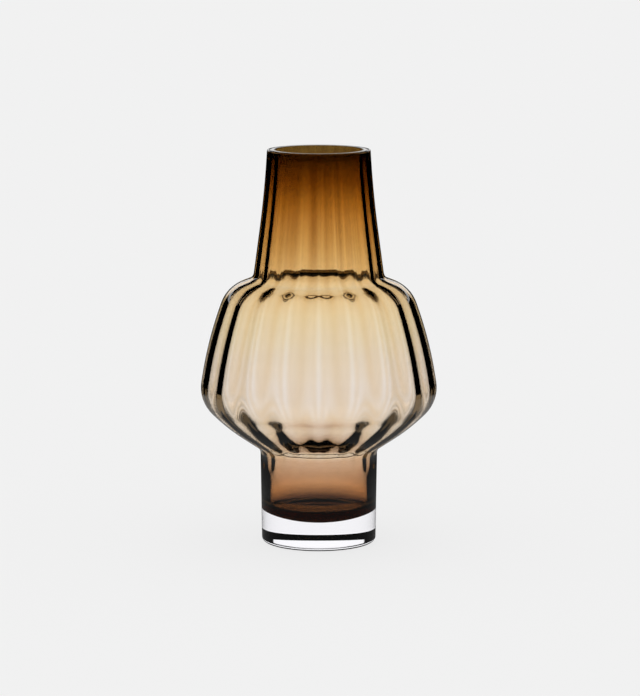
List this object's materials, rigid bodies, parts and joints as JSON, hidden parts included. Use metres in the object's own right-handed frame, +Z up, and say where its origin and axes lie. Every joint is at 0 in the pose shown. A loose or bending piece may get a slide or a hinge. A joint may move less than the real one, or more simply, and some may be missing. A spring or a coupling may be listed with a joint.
{
  "type": "glass vase",
  "caption": "Tall cased glass vase: narrow tapering neck, wide angular belly and round foot, amber liner with optic ribs in a clear casing with a thick clear sole.",
  "frame": {"origin": "centre of the round face that the vase stands on", "axes": "+Z up along the vase's axis, -Y to the front of the picture, +X to its right"},
  "size_m": [0.137, 0.137, 0.23],
  "materials": {
    "clear_glass": "clear blown glass, fire-polished smooth on the outside, ground flat under the sole",
    "amber_glass": "transparent amber-brown blown glass, darkest at the rim and the foot and palest in the belly, smooth with soft vertical ribs"
  },
  "bodies": {
    "root": {"clear_casing": "clear_glass", "amber_liner": "amber_glass"}
  },
  "joints": []
}
